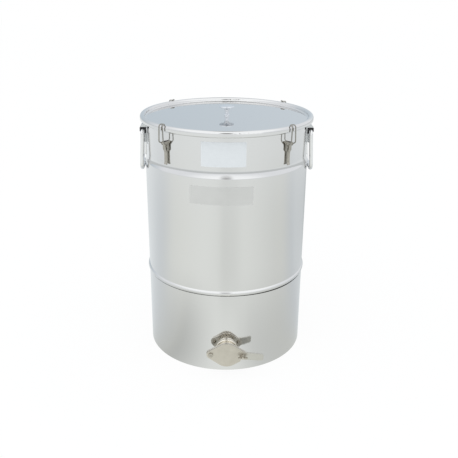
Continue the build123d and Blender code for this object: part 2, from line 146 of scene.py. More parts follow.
@dataclass(frozen=True)
class SheetFinish:
    """Rolled stainless sheet: a mirror with long, shallow ripples and faint polishing lines.

    Real polishing lines are finer than the render can show, so they are drawn coarser.

    Attributes:
        name: Material name.
        tint: Reflection colour at normal incidence.
        haze: Mean roughness.
        haze_spread: How far smudges move the roughness either way.
        smudge_mm: Size of the smudges.
        ripple_mm: Length of the sheet's ripples.
        ripple_height_mm: Depth of the ripples.
        line_mm: Spacing of the polishing lines.
        line_height_mm: Depth of the polishing lines.
        line_stretch: How many times their spacing the lines are long.
        lines_upright: Whether the lines run along Z rather than round it.
        inside_haze: Roughness of the faces that look towards the Z axis, or None where they
            are like the rest.
    """

    name: str
    tint: str
    haze: float
    haze_spread: float
    smudge_mm: float
    ripple_mm: float
    ripple_height_mm: float
    line_mm: float
    line_height_mm: float
    line_stretch: float = 60.0
    lines_upright: bool = False
    inside_haze: float | None = None

    def add_inside(self, tree: Tree, haze: Socket) -> Socket:
        """Add the duller inside: faces whose normal points back at the Z axis.

        Args:
            tree: The node tree.
            haze: Roughness of the outside.

        Returns:
            The roughness of both.
        """
        coordinates = add_node(tree, "ShaderNodeTexCoord")
        level = add_node(
            tree,
            "ShaderNodeVectorMath",
            {1: (1.0, 1.0, 0.0)},
            {0: coordinates.outputs["Object"]},
            operation="MULTIPLY",
        )
        facing = add_node(
            tree,
            "ShaderNodeVectorMath",
            links={0: coordinates.outputs["Normal"], 1: level.outputs["Vector"]},
            operation="DOT_PRODUCT",
        )
        inward = add_node(
            tree, "ShaderNodeMath", {1: 0.0}, {0: facing.outputs["Value"]}, operation="LESS_THAN"
        )
        both = add_node(
            tree,
            "ShaderNodeMix",
            {"B": self.inside_haze},
            {"Factor": inward.outputs[0], "A": haze},
            data_type="FLOAT",
        )
        return both.outputs["Result"]

    def build(self) -> bpy.types.Material:
        """Make the material.

        Returns:
            The finished material.
        """
        material, tree, surface = new_material(self.name)
        place = add_node(tree, "ShaderNodeTexCoord").outputs["Object"]
        across = per_metre(self.line_mm)
        along = per_metre(self.line_stretch * self.line_mm)
        scale = (across, across, along) if self.lines_upright else (along, along, across)
        ripple = add_node(
            tree,
            "ShaderNodeTexNoise",
            {"Scale": per_metre(self.ripple_mm), "Detail": 1.0, "Roughness": 0.4},
            {"Vector": place},
        )
        stretched = add_node(tree, "ShaderNodeMapping", {"Scale": scale}, {"Vector": place})
        lines = add_node(
            tree,
            "ShaderNodeTexNoise",
            {"Scale": 1.0, "Detail": 3.0, "Roughness": 0.6},
            {"Vector": stretched.outputs["Vector"]},
        )
        smudges = add_node(
            tree,
            "ShaderNodeTexNoise",
            {"Scale": per_metre(self.smudge_mm), "Detail": 4.0, "Roughness": 0.55},
            {"Vector": place},
        )
        haze = add_node(
            tree,
            "ShaderNodeMapRange",
            {
                "From Min": NOISE_LOW,
                "From Max": NOISE_HIGH,
                "To Min": self.haze - self.haze_spread,
                "To Max": self.haze + self.haze_spread,
            },
            {"Value": smudges.outputs["Fac"]},
        ).outputs["Result"]
        if self.inside_haze is not None:
            haze = self.add_inside(tree, haze)
        waves = add_node(
            tree,
            "ShaderNodeBump",
            {"Strength": 1.0, "Distance": self.ripple_height_mm * MM},
            {"Height": ripple.outputs["Fac"]},
        )
        scored = add_node(
            tree,
            "ShaderNodeBump",
            {"Strength": 1.0, "Distance": self.line_height_mm * MM},
            {"Height": lines.outputs["Fac"], "Normal": waves.outputs["Normal"]},
        )
        shader = add_node(
            tree,
            "ShaderNodeBsdfPrincipled",
            {"Base Color": linear(self.tint), "Metallic": 1.0},
            {"Roughness": haze, "Normal": scored.outputs["Normal"]},
        )
        tree.links.new(shader.outputs["BSDF"], surface)
        return material


@dataclass(frozen=True)
class MetalFinish:
    """Cast, drawn or stamped stainless: a broken, soft reflection with grain and darker patches
    at random.

    Real grain is finer than the render can show, so it is drawn coarser.

    Attributes:
        name: Material name.
        light: Colour of the bright parts.
        dark: Colour of the stained parts.
        roughness: Mean roughness.
        grain_mm: Size of the surface grain.
        grain_height_mm: Depth of the grain.
        stain_mm: Size of the stained patches.
        pale_end: A paler, more neutral colour for the +X end, or None where there is none.
        pale_end_from_mm: Where along X the paler end begins to show.
        pale_end_to_mm: Where it is fully paler.
        pale_end_share: How far its colour then goes over to the paler one.
    """

    name: str
    light: str
    dark: str
    roughness: float
    grain_mm: float
    grain_height_mm: float
    stain_mm: float
    pale_end: str | None = None
    pale_end_from_mm: float = 0.0
    pale_end_to_mm: float = 0.0
    pale_end_share: float = 0.85

    def add_pale_end(self, tree: Tree, place: Socket, colour: Socket) -> Socket:
        """Add the paler end, which comes in softly along X.

        Args:
            tree: The node tree.
            place: Object coordinates.
            colour: Colour of the rest.

        Returns:
            The colour of both.
        """
        parts = add_node(tree, "ShaderNodeSeparateXYZ", links={0: place})
        share = add_node(
            tree,
            "ShaderNodeMapRange",
            {
                "From Min": self.pale_end_from_mm * MM,
                "From Max": self.pale_end_to_mm * MM,
                "To Max": self.pale_end_share,
            },
            {"Value": parts.outputs["X"]},
            interpolation_type="SMOOTHSTEP",
        )
        both = add_node(
            tree,
            "ShaderNodeMix",
            {"B": linear(self.pale_end)},
            {"Factor": share.outputs["Result"], "A": colour},
            data_type="RGBA",
        )
        return both.outputs["Result"]

    def build(self) -> bpy.types.Material:
        """Make the material.

        Returns:
            The finished material.
        """
        material, tree, surface = new_material(self.name)
        place = add_node(tree, "ShaderNodeTexCoord").outputs["Object"]
        grain = add_node(
            tree,
            "ShaderNodeTexNoise",
            {"Scale": per_metre(self.grain_mm), "Detail": 3.0, "Roughness": 0.6},
            {"Vector": place},
        )
        stain = add_node(
            tree,
            "ShaderNodeTexNoise",
            {"Scale": per_metre(self.stain_mm), "Detail": 3.0, "Roughness": 0.5},
            {"Vector": place},
        )
        colour = add_node(
            tree,
            "ShaderNodeMix",
            {"A": linear(self.light), "B": linear(self.dark)},
            {"Factor": stain.outputs["Fac"]},
            data_type="RGBA",
        ).outputs["Result"]
        if self.pale_end is not None:
            colour = self.add_pale_end(tree, place, colour)
        rough = add_node(
            tree,
            "ShaderNodeMapRange",
            {
                "To Min": (1 - METAL_SPREAD) * self.roughness,
                "To Max": (1 + METAL_SPREAD) * self.roughness,
            },
            {"Value": grain.outputs["Fac"]},
        )
        bump = add_node(
            tree,
            "ShaderNodeBump",
            {"Strength": 1.0, "Distance": self.grain_height_mm * MM},
            {"Height": grain.outputs["Fac"]},
        )
        shader = add_node(
            tree,
            "ShaderNodeBsdfPrincipled",
            {"Metallic": 1.0},
            {
                "Base Color": colour,
                "Roughness": rough.outputs["Result"],
                "Normal": bump.outputs["Normal"],
            },
        )
        tree.links.new(shader.outputs["BSDF"], surface)
        return material


@dataclass(frozen=True)
class PlainFinish:
    """A non-metal such as nylon, silicone or paper, or the dark line of painted shade: one colour
    with a mottle and a tooth.

    A real tooth is finer than the render can show, so it is drawn coarser.

    Attributes:
        name: Material name.
        light: Colour of the bright parts of the mottle.
        dark: Colour of its dark parts.
        roughness: Mean roughness.
        ior: Index of refraction.
        mottle_mm: Size of the mottle.
        tooth_mm: Size of the surface tooth.
        tooth_height_mm: Depth of the tooth.
    """

    name: str
    light: str
    dark: str
    roughness: float
    ior: float
    mottle_mm: float
    tooth_mm: float
    tooth_height_mm: float

    def build(self) -> bpy.types.Material:
        """Make the material.

        Returns:
            The finished material.
        """
        material, tree, surface = new_material(self.name)
        place = add_node(tree, "ShaderNodeTexCoord").outputs["Object"]
        mottle = add_node(
            tree,
            "ShaderNodeTexNoise",
            {"Scale": per_metre(self.mottle_mm), "Detail": 3.0},
            {"Vector": place},
        )
        tooth = add_node(
            tree,
            "ShaderNodeTexNoise",
            {"Scale": per_metre(self.tooth_mm), "Detail": 2.0},
            {"Vector": place},
        )
        colour = add_node(
            tree,
            "ShaderNodeMix",
            {"A": linear(self.light), "B": linear(self.dark)},
            {"Factor": mottle.outputs["Fac"]},
            data_type="RGBA",
        )
        rough = add_node(
            tree,
            "ShaderNodeMapRange",
            {
                "To Min": (1 - PLAIN_SPREAD) * self.roughness,
                "To Max": (1 + PLAIN_SPREAD) * self.roughness,
            },
            {"Value": tooth.outputs["Fac"]},
        )
        bump = add_node(
            tree,
            "ShaderNodeBump",
            {"Strength": 1.0, "Distance": self.tooth_height_mm * MM},
            {"Height": tooth.outputs["Fac"]},
        )
        shader = add_node(
            tree,
            "ShaderNodeBsdfPrincipled",
            {"IOR": self.ior},
            {
                "Base Color": colour.outputs["Result"],
                "Roughness": rough.outputs["Result"],
                "Normal": bump.outputs["Normal"],
            },
        )
        tree.links.new(shader.outputs["BSDF"], surface)
        return material


Finish = SheetFinish | MetalFinish | PlainFinish

# Bright-annealed stainless sheet: a near mirror with the shallow ripples of thin rolled plate,
# ground matt inside
WALL_FINISH = SheetFinish(
    "bright_annealed_wall", "dadada", haze=0.07, haze_spread=0.025, smudge_mm=70.0,
    ripple_mm=85.0, ripple_height_mm=0.06, line_mm=1.6, line_height_mm=0.0008, inside_haze=0.6,
)
# The same sheet pressed flat for the lid, a cleaner mirror
LID_FINISH = SheetFinish(
    "bright_annealed_lid", "dadada", haze=0.045, haze_spread=0.015, smudge_mm=90.0,
    ripple_mm=160.0, ripple_height_mm=0.04, line_mm=1.6, line_height_mm=0.0003,
)
# Polished stainless bar, bent and buffed, for the handles
ROD_FINISH = SheetFinish(
    "buffed_stainless_bar", "e6e6e6", haze=0.10, haze_spread=0.03, smudge_mm=12.0,
    ripple_mm=30.0, ripple_height_mm=0.01, line_mm=0.8, line_height_mm=0.0003,
    lines_upright=True,
)
# Stainless tube of the outlet socket, turned and buffed; its tint, far paler and warmer than the
# wall's, is painted light that brightens the ring between the gate and the weld
SOCKET_PAINTED_LIGHT_FINISH = SheetFinish(
    "buffed_tube_painted_light", "f6f1e6", haze=0.10, haze_spread=0.03, smudge_mm=12.0,
    ripple_mm=30.0, ripple_height_mm=0.01, line_mm=0.8, line_height_mm=0.0003,
    lines_upright=True,
)
# Chromed turned steel for the knob, a cold, slightly dark mirror
KNOB_FINISH = SheetFinish(
    "chromed_knob", "dbdfe4", haze=0.05, haze_spread=0.02, smudge_mm=8.0, ripple_mm=20.0,
    ripple_height_mm=0.005, line_mm=0.6, line_height_mm=0.0003,
)
# Investment-cast stainless, bead-blasted and lightly brushed: a warm, soft grey
GATE_FINISH = MetalFinish(
    "cast_stainless_gate", "d4cfc5", "bfbaaf", roughness=0.38, grain_mm=0.9,
    grain_height_mm=0.02, stain_mm=14.0,
)
# The same casting for the flap, whose tail end goes over to a paler, more neutral colour along X
FLAP_FINISH = MetalFinish(
    "cast_stainless_flap", "d4cfc5", "bfbaaf", roughness=0.38, grain_mm=0.9,
    grain_height_mm=0.02, stain_mm=14.0, pale_end="cccbc5", pale_end_from_mm=38.0, pale_end_to_mm=54.0,
)
# The same steel, a little smoother, for the gate's body; its colour is painted lighter, as
# painted light on its shaded back, which the wall mirrors
GATE_BODY_PAINTED_LIGHT_FINISH = MetalFinish(
    "gate_steel_painted_light", "e5e1d7", "d4cfc5", roughness=0.34, grain_mm=0.9,
    grain_height_mm=0.01, stain_mm=14.0,
)
# Satin stainless sheet of the handle brackets and the floor pan: ground, so that it blurs what
# stands before it
BRACKET_FINISH = MetalFinish(
    "satin_bracket_sheet", "dcdedf", "d2d4d5", roughness=0.42, grain_mm=0.7,
    grain_height_mm=0.003, stain_mm=20.0,
)
# Drawn stainless wire of the latch bails: smooth, with darker patches; both its colours are far
# darker than steel, as painted shade
WIRE_PAINTED_SHADE_FINISH = MetalFinish(
    "drawn_wire_painted_shade", "a9a7a1", "8f8c85", roughness=0.14, grain_mm=0.6,
    grain_height_mm=0.002, stain_mm=6.0,
)
# Stamped lever steel and small fasteners, with lighter and darker patches at random
FITTING_FINISH = MetalFinish(
    "stamped_stainless_fitting", "c4c0b7", "a09b91", roughness=0.18, grain_mm=0.6,
    grain_height_mm=0.004, stain_mm=5.0,
)
# Glass-filled black nylon, moulded: near black with a soft sheen
NYLON_FINISH = PlainFinish(
    "moulded_black_nylon", "15151a", "0b0b0d", roughness=0.42, ior=1.53, mottle_mm=3.0,
    tooth_mm=0.35, tooth_height_mm=0.02,
)
# Food-grade silicone: milky, soft and matt
SILICONE_FINISH = PlainFinish(
    "food_silicone_seal", "e4e1d8", "d8d4c8", roughness=0.5, ior=1.41, mottle_mm=6.0,
    tooth_mm=0.5, tooth_height_mm=0.01,
)
# Painted shade: a matt, nearly black line in the crease under the bead, where the crease is dark
CREASE_SHADE_FINISH = PlainFinish(
    "painted_crease_shade", "2e2d2a", "1f1e1c", roughness=0.6, ior=1.5, mottle_mm=4.0,
    tooth_mm=0.5, tooth_height_mm=0.01,
)
# Coated white label paper, with a slight satin
PAPER_FINISH = PlainFinish(
    "coated_label_paper", "dde1e3", "d7dbdd", roughness=0.38, ior=1.5, mottle_mm=9.0,
    tooth_mm=0.4, tooth_height_mm=0.004,
)
# Matt silver polyester film: metal under a lacquer, so it is grey and even
FILM_FINISH = MetalFinish(
    "matt_silver_film", "dededd", "d5d5d4", roughness=0.42, grain_mm=0.6,
    grain_height_mm=0.003, stain_mm=25.0,
)

# Finish by the start of a node's name; all other nodes are levers and small fasteners
NODE_FINISHES: dict[str, Finish] = {
    "tank_shell": WALL_FINISH,
    "tank_floor": BRACKET_FINISH,
    "lid_pan": LID_FINISH,
    "lid_knob": KNOB_FINISH,
    "outlet_socket": SOCKET_PAINTED_LIGHT_FINISH,
    "handle_bail": ROD_FINISH,
    "handle_bracket": BRACKET_FINISH,
    "handle_hinge": NYLON_FINISH,
    "latch_bail": WIRE_PAINTED_SHADE_FINISH,
    "gate_body": GATE_BODY_PAINTED_LIGHT_FINISH,
    "gate_flap": FLAP_FINISH,
    "gate_pivot_nut": GATE_FINISH,
    "gate_stud": GATE_FINISH,
    "lid_seal": SILICONE_FINISH,
    "gate_seal": SILICONE_FINISH,
}


class Wardrobe:
    """Builds each finish once and puts it on CAD nodes and new pieces."""

    def __init__(self) -> None:
        """Start with no finish built."""
        self.built: dict[str, bpy.types.Material] = {}

    def wear(self, piece: bpy.types.Object, finish: Finish) -> None:
        """Give a piece one finish.

        Args:
            piece: The object to dress.
            finish: What it is made of.
        """
        if finish.name not in self.built:
            self.built[finish.name] = finish.build()
        piece.data.materials.clear()
        piece.data.materials.append(self.built[finish.name])

    def dress_frame(self, nodes: dict[str, bpy.types.Object]) -> None:
        """Give every CAD node its finish.

        Args:
            nodes: Node name to object.
        """
        for name, node in sorted(nodes.items()):
            stem = next((s for s in NODE_FINISHES if name.startswith(s)), None)
            finish = NODE_FINISHES[stem] if stem else FITTING_FINISH
            self.wear(node, finish)
            LOG.info("node %s wears %s", name, finish.name)


def finish_piece(mesh: bmesh.types.BMesh, name: str, body: Body) -> bpy.types.Object:
    """Turn a bmesh into a piece that rides on a body.

    Args:
        mesh: The finished shape, freed here.
        name: Object name.
        body: The CAD body it moves with.

    Returns:
        The new object.
    """
    bmesh.ops.recalc_face_normals(mesh, faces=mesh.faces)
    data = bpy.data.meshes.new(name)
    mesh.to_mesh(data)
    mesh.free()
    data.polygons.foreach_set("use_smooth", [True] * len(data.polygons))
    data.set_sharp_from_angle(angle=math.radians(CRISP_DEG))
    piece = bpy.data.objects.new(name, data)
    bpy.context.scene.collection.objects.link(piece)
    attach(piece, body.value)
    LOG.info("piece %s: %d faces on %s", name, len(data.polygons), body.value)
    return piece


@dataclass
class CurvedLabel:
    """A bare label stuck on the tank's wall.

    Attributes:
        name: Object name.
        finish: What it is made of.
        radius: Radius of the wall under it.
        start_deg: Azimuth of its left edge.
        end_deg: Azimuth of its right edge.
        bottom: Height of its lower edge.
        top: Height of its upper edge.
        thickness: Thickness of the stock.
        corner: Radius of its corners.
        corner_steps: Facets of each corner.
        strips: Upright strips that follow the wall's curve.
    """

    name: str
    finish: Finish
    radius: float
    start_deg: float
    end_deg: float
    bottom: float
    top: float
    thickness: float = 0.15 * MM
    corner: float = 1.5 * MM
    corner_steps: int = 5
    strips: int = 48

    def build(self, wardrobe: Wardrobe) -> bpy.types.Object:
        """Make the label: a flat sheet with rounded corners, wrapped round the wall.

        Args:
            wardrobe: Gives the label its finish.

        Returns:
            The label's object.
        """
        width = math.radians(self.end_deg - self.start_deg) * self.radius
        height = self.top - self.bottom
        mesh = bmesh.new()
        bmesh.ops.create_grid(mesh, x_segments=1, y_segments=1, size=0.5)
        bmesh.ops.scale(mesh, vec=(width, height, 1.0), verts=mesh.verts)
        bmesh.ops.bevel(
            mesh, geom=mesh.verts[:], offset=self.corner, segments=self.corner_steps,
            profile=0.5, affect="VERTICES", material=-1,
        )
        for strip in range(1, self.strips):
            cut = Vector(((strip / self.strips - 0.5) * width, 0.0, 0.0))
            everything = mesh.verts[:] + mesh.edges[:] + mesh.faces[:]
            bmesh.ops.bisect_plane(
                mesh, geom=everything, plane_co=cut, plane_no=(1.0, 0.0, 0.0)
            )
        bmesh.ops.solidify(mesh, geom=mesh.faces[:], thickness=self.thickness)
        lowest = min(v.co.z for v in mesh.verts)
        middle = math.radians(self.start_deg + self.end_deg) / 2
        for vert in mesh.verts:
            angle = middle + vert.co.x / self.radius
            reach = self.radius + vert.co.z - lowest
            lift = self.bottom + height / 2 + vert.co.y
            vert.co = Vector((reach * math.sin(angle), -reach * math.cos(angle), lift))
        piece = finish_piece(mesh, self.name, Body.TANK)
        wardrobe.wear(piece, self.finish)
        return piece


@dataclass
class WeldRing:
    """The weld bead where the outlet socket meets the curved wall.

    Attributes:
        ring: Radius of the socket it runs round.
        bead: Radius of the bead.
        wall: Radius of the tank wall.
        height: Height of the socket's axis.
        sides: Facets round the bead.
        steps: Facets along the bead.
        ripples: Ripples that the weld left along it.
        ripple_share: How far they raise and lower the bead.
    """

    ring: float = 27.0 * MM
    bead: float = 1.1 * MM
    wall: float = WALL_RADIUS
    height: float = 61.8 * MM
    sides: int = 10
    steps: int = 96
    ripples: int = 70
    ripple_share: float = 0.12

    def build(self, wardrobe: Wardrobe) -> bpy.types.Object:
        """Make the bead: a small circle spun round the socket, then set down on the wall.

        Args:
            wardrobe: Gives the bead its finish.

        Returns:
            The bead's object.
        """
        mesh = bmesh.new()
        bmesh.ops.create_circle(mesh, cap_ends=False, segments=self.sides, radius=self.bead)
        bmesh.ops.translate(mesh, vec=(self.ring, 0.0, 0.0), verts=mesh.verts)
        bmesh.ops.spin(
            mesh, geom=mesh.verts[:] + mesh.edges[:], cent=(0, 0, 0), axis=(0, 1, 0),
            angle=math.tau, steps=self.steps, use_merge=True,
        )
        for vert in mesh.verts:
            turn = math.atan2(vert.co.z, vert.co.x)
            vert.co.y *= 1.0 + self.ripple_share * math.sin(self.ripples * turn)
            vert.co.y -= math.sqrt(self.wall**2 - vert.co.x**2)
            vert.co.z += self.height
        piece = finish_piece(mesh, "socket_weld", Body.TANK)
        wardrobe.wear(piece, FITTING_FINISH)
        return piece


@dataclass
class CreaseShadeLine:
    """A dark line of painted shade in the crease under the wall's bead, thicker at the front
    right, where that shade is darkest.

    Attributes:
        wall: Radius of the tank wall.
        height: Height of the crease.
        bead: Radius of the line where it is thin.
        fullness: Share by which the line swells where it is fullest.
        fullest_deg: Azimuth of the fullest place.
        spread_deg: How far the swelling reaches to either side.
        sides: Facets round the line.
        steps: Facets along the line.
    """

    wall: float = WALL_RADIUS
    height: float = 205.6 * MM
    bead: float = 0.7 * MM
    fullness: float = 1.9
    fullest_deg: float = 43.0
    spread_deg: float = 18.0
    sides: int = 8
    steps: int = 180

    def build(self, wardrobe: Wardrobe) -> bpy.types.Object:
        """Make the line: a small circle spun round the tank, then swelled by direction.

        Args:
            wardrobe: Gives the line its finish.

        Returns:
            The line's object.
        """
        mesh = bmesh.new()
        bmesh.ops.create_circle(mesh, cap_ends=False, segments=self.sides, radius=self.bead)
        bmesh.ops.rotate(mesh, verts=mesh.verts, matrix=Matrix.Rotation(math.pi / 2, 3, "X"))
        bmesh.ops.translate(mesh, vec=(self.wall, 0.0, 0.0), verts=mesh.verts)
        bmesh.ops.spin(
            mesh, geom=mesh.verts[:] + mesh.edges[:], cent=(0, 0, 0), axis=(0, 0, 1),
            angle=math.tau, steps=self.steps, use_merge=True,
        )
        for vert in mesh.verts:
            reach = math.hypot(vert.co.x, vert.co.y)
            azimuth = math.degrees(math.atan2(vert.co.x, -vert.co.y))
            away = (azimuth - self.fullest_deg) / self.spread_deg
            swell = 1.0 + self.fullness * math.exp(-0.5 * away * away)
            along = (self.wall + swell * (reach - self.wall)) / reach
            lift = self.height + swell * vert.co.z
            vert.co = Vector((along * vert.co.x, along * vert.co.y, lift))
        piece = finish_piece(mesh, "painted_crease_shade_line", Body.TANK)
        wardrobe.wear(piece, CREASE_SHADE_FINISH)
        return piece


def stage_plane(name: str, size: Span, material: bpy.types.Material) -> bpy.types.Object:
    """Add a flat piece of the studio, which isn't part of the tank.

    Args:
        name: Object name.
        size: Width and height.
        material: What it is made of.

    Returns:
        The plane, flat on the origin.
    """
    mesh = bmesh.new()
    bmesh.ops.create_grid(mesh, x_segments=2, y_segments=2, size=0.5)
    bmesh.ops.scale(mesh, vec=(*size, 1.0), verts=mesh.verts)
    data = bpy.data.meshes.new(name)
    mesh.to_mesh(data)
    mesh.free()
    data.materials.append(material)
    plane = bpy.data.objects.new(name, data)
    bpy.context.scene.collection.objects.link(plane)
    return plane


def straight_rays(tree: Tree) -> Socket:
    """Add the test for rays that see the background itself, straight or through something clear.

    Args:
        tree: The node tree.

    Returns:
        1 for such rays, 0 for mirrored and scattered ones.
    """
    path = add_node(tree, "ShaderNodeLightPath")
    either = add_node(
        tree,
        "ShaderNodeMath",
        links={0: path.outputs["Is Camera Ray"], 1: path.outputs["Is Transmission Ray"]},
        operation="MAXIMUM",
    )
    return either.outputs[0]


@dataclass
class Camera:
    """The camera, where the photograph was taken.

    Attributes:
        eye: Its place.
        yaw_deg: Its heading, from +Y towards +X.
        pitch_deg: How far it looks down.
        roll_deg: How far its right side is raised.
        focal_px: Focal length in pixels of the square picture.
        drop_px: How far the picture is moved down, in pixels.
        sensor_mm: Width of the sensor.
        clip: Nearest and furthest distance in its view.
    """

    eye: Point = (-0.02683, -1.53737, 0.9090)
    yaw_deg: float = 1.295
    pitch_deg: float = 21.72
    roll_deg: float = 0.512
    focal_px: float = 633.9
    drop_px: float = 0.5
    sensor_mm: float = 36.0
    clip: Span = (0.05, 50.0)

    def build(self) -> None:
        """Place the camera and make it the scene's own."""
        degrees = (self.yaw_deg, self.pitch_deg, self.roll_deg)
        yaw, pitch, roll = (math.radians(a) for a in degrees)
        ahead = Vector(
            (math.sin(yaw) * math.cos(pitch), math.cos(yaw) * math.cos(pitch), -math.sin(pitch))
        )
        level = Vector((math.cos(yaw), -math.sin(yaw), 0.0))
        upright = level.cross(ahead)
        right = math.cos(roll) * level + math.sin(roll) * upright
        above = right.cross(ahead)
        lens = bpy.data.cameras.new("camera")
        lens.sensor_fit = "HORIZONTAL"
        lens.sensor_width = self.sensor_mm
        lens.lens = self.focal_px / IMAGE_SIDE * self.sensor_mm
        lens.shift_y = self.drop_px / IMAGE_SIDE
        lens.clip_start, lens.clip_end = self.clip
        camera = bpy.data.objects.new("camera", lens)
        turn = Matrix((right, above, -ahead)).transposed().to_4x4()
        camera.matrix_world = Matrix.Translation(self.eye) @ turn
        bpy.context.scene.collection.objects.link(camera)
        bpy.context.scene.camera = camera


# Light levels of the studio are linear and not hex colours, because some are above 1.
# The floor is pale and slightly green in front of the tank, bluish behind it
FLOOR_TINT = (0.977, 1.0, 0.967)
SHADE_TINT = (0.955, 1.0, 1.02)
# Azimuth, to either side, up to which the floor counts as in front
FRONT_DEG = 90


@dataclass(frozen=True)
class FloorTone:
    """Grey levels of the floor as the steel mirrors it, by direction from the tank.

    Attributes:
        stops: Pairs of azimuth and level.
    """

    stops: tuple[Span, ...]

    def add(self, tree: Tree, turn: Socket) -> Socket:
        """Add the ramp to a tree.

        Args:
            tree: The node tree.
            turn: Azimuth as a share of a full turn, the front at one half.

        Returns:
            The ramp's colour.
        """
        node = add_node(tree, "ShaderNodeValToRGB", links={"Fac": turn})
        ramp = node.color_ramp
        ramp.interpolation = "CARDINAL"
        while len(ramp.elements) < len(self.stops):
            ramp.elements.new(0.5)
        for element, (azimuth, level) in zip(ramp.elements, self.stops):
            element.position = azimuth / 360 + 0.5
            tint = FLOOR_TINT if abs(azimuth) < FRONT_DEG else SHADE_TINT
            element.color = (*(level * channel for channel in tint), 1.0)
        return node.outputs["Color"]


# Close to the tank the floor is lit in front, shaded by the tank on both sides and dark behind
NEAR_TONE = FloorTone(
    (
        (-180, 0.66), (-140, 0.84), (-97, 0.80), (-58, 0.695), (-42, 0.67), (-16, 0.925),
        (0, 0.985), (12, 0.92), (24, 0.80), (36, 0.745), (66, 0.72), (97, 0.73), (140, 0.74),
        (160, 0.45), (180, 0.66),
    )
)
# Further out a soft shade lies straight in front, with light on both sides of it
FAR_TONE = FloorTone(
    (
        (-180, 0.50), (-157, 0.78), (-130, 0.90), (-97, 0.83), (-75, 0.915), (-32, 0.985),
        (-15, 0.965), (-10, 0.935), (-4, 0.88), (5.5, 0.882), (12, 0.905), (24, 0.95),
        (60, 0.86), (80, 0.825), (97, 0.775), (113, 0.80), (140, 0.69), (160, 0.45),
        (180, 0.50),
    )
)


@dataclass(frozen=True)
class FloorRing:
    """A change of the mirrored floor's level with the distance from the tank's axis.

    Attributes:
        reach: Distances at which it begins and is complete.
        share: How far the level then goes over to the new one.
        level: The new light level.
    """

    reach: Span
    share: float
    level: Colour


@dataclass
class Floor:
    """The floor: white with a soft shadow to the camera, a shaded grey where it is mirrored.

    Attributes:
        side: Side of the square.
        far_reach: Distances between which the near tone goes over to the far one.
        rings: Further changes, from the inside out.
        white_share: How much of what the camera sees is plain white, and not the shadow.
    """

    side: float = 24.0
    far_reach: Span = (0.2, 0.8)
    rings: tuple[FloorRing, ...] = (
        FloorRing((0.9, 2.6), 0.6, (0.99, 1.02, 1.03, 1.0)),
        FloorRing((2.9, 3.6), 0.9, (0.66, 0.685, 0.69, 1.0)),
    )
    white_share: float = 0.9

    def add_turn(self, tree: Tree, place: Socket) -> Socket:
        """Add the azimuth of a place on the floor.

        Args:
            tree: The node tree.
            place: Object coordinates.

        Returns:
            The azimuth as a share of a full turn, the front at one half.
        """
        parts = add_node(tree, "ShaderNodeSeparateXYZ", links={0: place})
        ahead = add_node(
            tree, "ShaderNodeMath", {1: -1.0}, {0: parts.outputs["Y"]}, operation="MULTIPLY"
        )
        angle = add_node(
            tree,
            "ShaderNodeMath",
            links={0: parts.outputs["X"], 1: ahead.outputs[0]},
            operation="ARCTAN2",
        )
        turn = add_node(
            tree,
            "ShaderNodeMapRange",
            {"From Min": -math.pi, "From Max": math.pi},
            {"Value": angle.outputs[0]},
        )
        return turn.outputs["Result"]

    def add_mirrored(self, tree: Tree) -> Socket:
        """Add the floor as the steel mirrors it.

        Args:
            tree: The node tree.

        Returns:
            Its colour.
        """
        place = add_node(tree, "ShaderNodeTexCoord").outputs["Object"]
        turn = self.add_turn(tree, place)
        reach = add_node(
            tree, "ShaderNodeVectorMath", links={0: place}, operation="LENGTH"
        ).outputs["Value"]
        far = add_node(
            tree,
            "ShaderNodeMapRange",
            {"From Min": self.far_reach[0], "From Max": self.far_reach[1]},
            {"Value": reach},
            interpolation_type="SMOOTHSTEP",
        )
        colour = add_node(
            tree,
            "ShaderNodeMix",
            links={
                "Factor": far.outputs["Result"],
                "A": NEAR_TONE.add(tree, turn),
                "B": FAR_TONE.add(tree, turn),
            },
            data_type="RGBA",
        ).outputs["Result"]
        for ring in self.rings:
            share = add_node(
                tree,
                "ShaderNodeMapRange",
                {"From Min": ring.reach[0], "From Max": ring.reach[1], "To Max": ring.share},
                {"Value": reach},
                interpolation_type="SMOOTHSTEP",
            )
            colour = add_node(
                tree,
                "ShaderNodeMix",
                {"B": ring.level},
                {"Factor": share.outputs["Result"], "A": colour},
                data_type="RGBA",
            ).outputs["Result"]
        return colour

    def build(self) -> None:
        """Lay the floor."""
        material, tree, surface = new_material("pale_floor")
        path = add_node(tree, "ShaderNodeLightPath")
        mirrored = add_node(
            tree, "ShaderNodeEmission", {"Strength": 1.0}, {"Color": self.add_mirrored(tree)}
        )
        matt = add_node(tree, "ShaderNodeBsdfDiffuse", {"Color": linear("ffffff")})
        white = add_node(
            tree, "ShaderNodeEmission", {"Color": linear("ffffff"), "Strength": 1.0}
        )
        seen = add_node(
            tree,
            "ShaderNodeMixShader",
            {0: self.white_share},
            {1: matt.outputs["BSDF"], 2: white.outputs["Emission"]},
        )
        indirect = add_node(
            tree,
            "ShaderNodeMixShader",
            links={
                0: path.outputs["Is Glossy Ray"],
                1: matt.outputs["BSDF"],
                2: mirrored.outputs["Emission"],
            },
        )
        both = add_node(
            tree,
            "ShaderNodeMixShader",
            links={
                0: straight_rays(tree),
                1: indirect.outputs["Shader"],
                2: seen.outputs["Shader"],
            },
        )
        tree.links.new(both.outputs["Shader"], surface)
        stage_plane("floor", (self.side, self.side), material)


# Outwards from a flag's middle, density is full up to the first of these and gone at the second,
# and the card ends at the third
FLAG_FULL, FLAG_GONE, FLAG_EDGE = 0.35, 1.0, 1.1
# Dull black card under the studio's light
FLAG_COLOUR = "65625e"


